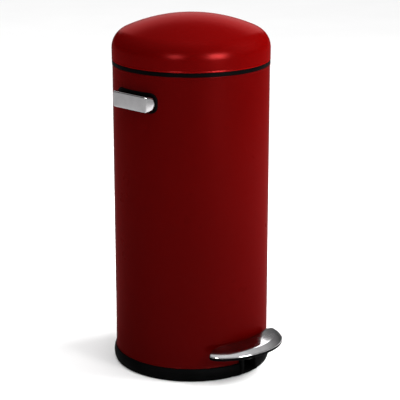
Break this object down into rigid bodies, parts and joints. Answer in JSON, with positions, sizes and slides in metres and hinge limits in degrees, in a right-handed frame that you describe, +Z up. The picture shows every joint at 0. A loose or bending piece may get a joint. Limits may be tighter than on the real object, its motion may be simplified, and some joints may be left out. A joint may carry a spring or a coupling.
{
  "type": "pedal bin",
  "caption": "Tall round steel step can with a domed hinged lid, foot pedal and side handles, for waste that must stay covered.",
  "frame": {"origin": "on the can's axis at floor level, in the plane of the rubber foot ring", "axes": "+Z up the can's axis, -Y towards the pedal, +X to the right of a person facing the pedal side, lid hinge at +Y, side handles at -X and +X"},
  "size_m": [0.323, 0.3689, 0.6762],
  "materials": {
    "red_paint": "deep red gloss enamel on steel sheet",
    "black_plastic": "black moulded plastic, fine grain",
    "chrome": "bright chrome plate on pressed steel",
    "plated_steel": "zinc-plated steel",
    "black_strap": "black powder coat on steel",
    "rubber": "black rubber",
    "bucket_plastic": "dark grey moulded plastic",
    "nylon": "natural nylon",
    "damper_case": "black glossy plastic"
  },
  "bodies": {
    "can": {"body_shell": "red_paint", "upper_collar": "black_plastic", "base_ring": "black_plastic", "base_pan": "black_plastic", "foot_ring": "rubber", "base_screws": "plated_steel", "bucket_seat": "bucket_plastic", "pedal_shroud": "black_plastic", "pivot_bracket": "plated_steel", "pivot_pin": "plated_steel", "bracket_screws": "plated_steel", "pedal_stop": "rubber", "hinge_housing": "black_plastic", "hinge_pin": "plated_steel", "hinge_screws": "plated_steel", "rod_guide_lower": "nylon", "rod_guide_upper": "nylon", "guide_rivets": "plated_steel", "damper_cylinder": "damper_case", "damper_mount": "plated_steel", "side_handle_left": "chrome", "side_handle_right": "chrome", "handle_plate_left": "black_plastic", "handle_plate_right": "black_plastic", "handle_screws": "plated_steel"},
    "pedal": {"pedal_tread": "chrome", "pedal_backing": "black_plastic", "pedal_lever": "black_strap", "lever_tip": "nylon"},
    "push_rod": {"push_rod": "plated_steel", "rod_foot": "nylon", "rod_head": "plated_steel", "damper_rod": "plated_steel", "damper_link": "plated_steel"},
    "lid": {"lid_dome": "red_paint", "lid_liner": "black_plastic", "lid_rim": "black_plastic", "lid_bumpers": "rubber", "lid_arm": "black_strap", "crank_pin": "plated_steel", "lid_screws": "plated_steel"},
    "bucket": {"inner_bucket": "bucket_plastic"},
    "bail": {"bail_wire": "plated_steel", "bail_grip": "bucket_plastic"}
  },
  "joints": [
    {"name": "lid_open", "type": "hinge", "parent": "can", "child": "lid", "pos_m": [0, 0.16, 0.597], "axis": [-1, 0, 0], "range_deg": [0, 75]},
    {"name": "pedal_press", "type": "hinge", "parent": "can", "child": "pedal", "pos_m": [0, -0.06, 0.022], "axis": [1, 0, 0], "range_deg": [0, 11.45]},
    {"name": "rod_lift", "type": "slide", "parent": "can", "child": "push_rod", "axis": [0, 0, 1], "range_m": [0, 0.03752]},
    {"name": "bucket_lift", "type": "slide", "parent": "can", "child": "bucket", "axis": [0, 0, 1], "range_m": [0, 0.01]},
    {"name": "bail_swing", "type": "hinge", "parent": "bucket", "child": "bail", "pos_m": [0, 0, 0.552], "axis": [-1, 0, 0], "range_deg": [0, 20]}
  ],
  "couplings": [
    {"joint": "pedal_press", "follows": "lid_open", "ratio": 0.152},
    {"joint": "rod_lift", "follows": "lid_open", "m_per_rad": 0.028587}
  ]
}
